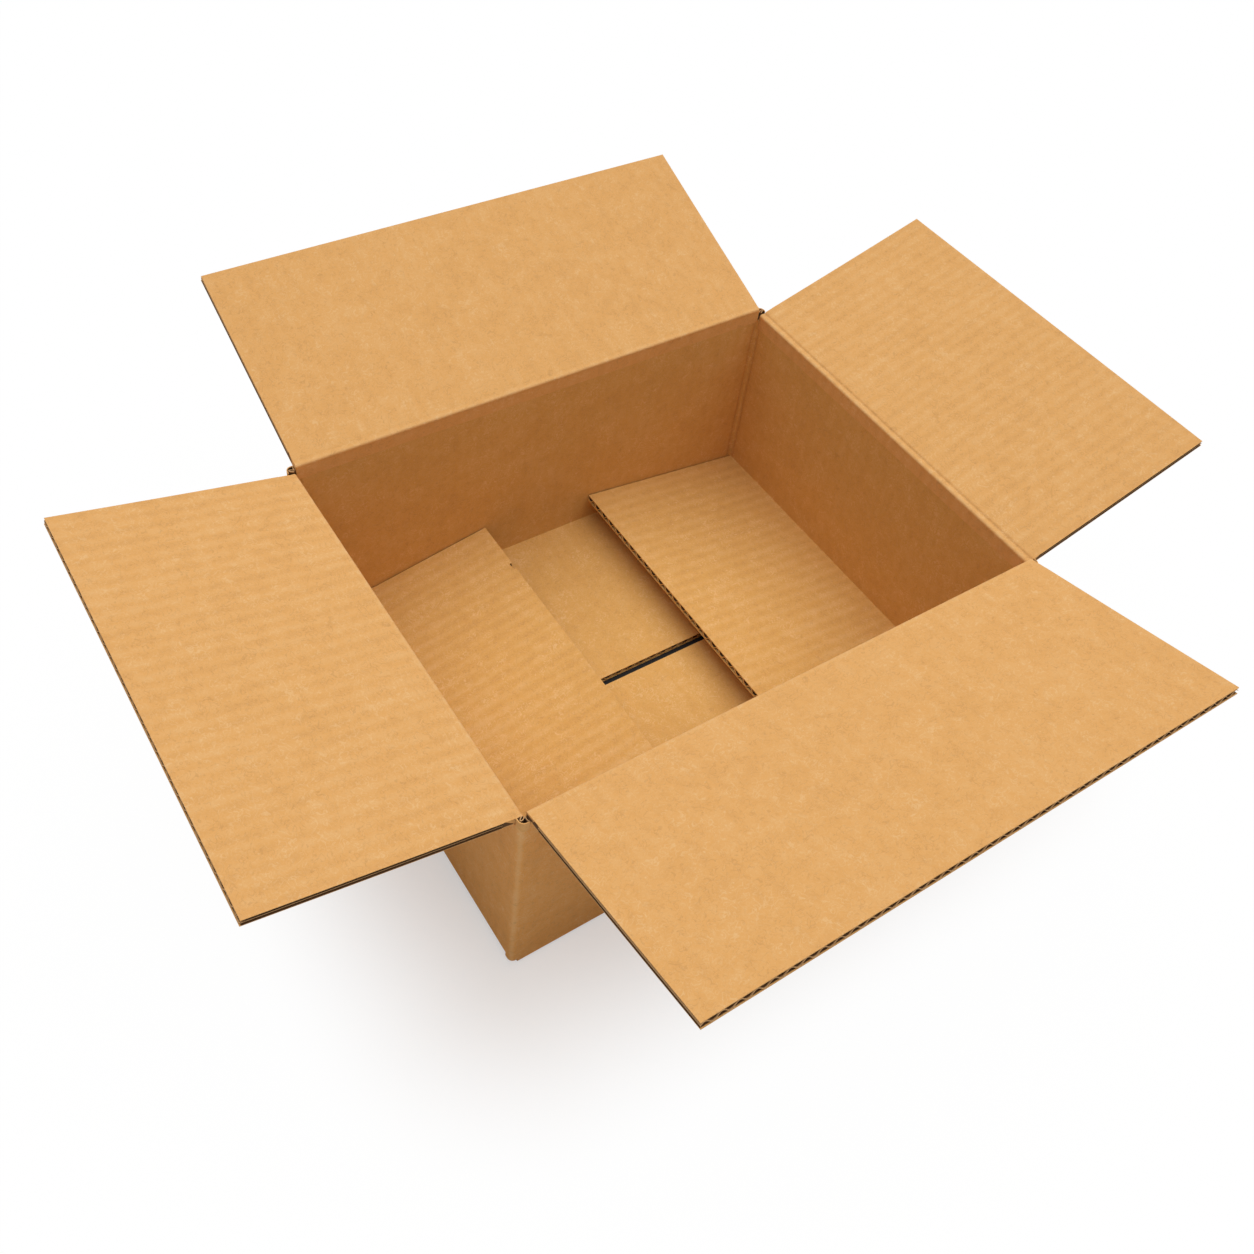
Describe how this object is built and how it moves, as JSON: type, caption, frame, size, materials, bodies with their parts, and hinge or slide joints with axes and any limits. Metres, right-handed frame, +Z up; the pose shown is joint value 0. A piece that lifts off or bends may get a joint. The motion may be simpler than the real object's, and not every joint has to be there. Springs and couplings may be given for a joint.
{
  "type": "open cardboard box",
  "caption": "Slotted corrugated carton with its bottom flaps folded shut and its hinged top flaps standing open.",
  "frame": {"origin": "middle of the box's underside, on the surface it stands on", "axes": "+X along the length towards the right flap, +Y across the width towards the back flap, +Z up out of the open top"},
  "size_m": [0.5472, 0.4743, 0.1758],
  "materials": {
    "kraft_board": "matt uncoated brown kraft board"
  },
  "bodies": {
    "carton_body": {"carton_body": "kraft_board"},
    "top_flap_back": {"top_flap_back": "kraft_board"},
    "top_flap_front": {"top_flap_front": "kraft_board"},
    "top_flap_left": {"top_flap_left": "kraft_board"},
    "top_flap_right": {"top_flap_right": "kraft_board"}
  },
  "joints": [
    {"name": "back_fold", "type": "hinge", "parent": "carton_body", "child": "top_flap_back", "pos_m": [0, 0.12165, 0.1295], "axis": [-1, 0, 0], "range_deg": [-159.5, 110.5]},
    {"name": "front_fold", "type": "hinge", "parent": "carton_body", "child": "top_flap_front", "pos_m": [0, -0.12165, 0.1295], "axis": [1, 0, 0], "range_deg": [-166, 104]},
    {"name": "left_fold", "type": "hinge", "parent": "carton_body", "child": "top_flap_left", "pos_m": [-0.15665, 0, 0.125], "axis": [0, -1, 0], "range_deg": [-168, 102]},
    {"name": "right_fold", "type": "hinge", "parent": "carton_body", "child": "top_flap_right", "pos_m": [0.15665, 0, 0.125], "axis": [0, 1, 0], "range_deg": [-162.5, 107.5]}
  ]
}
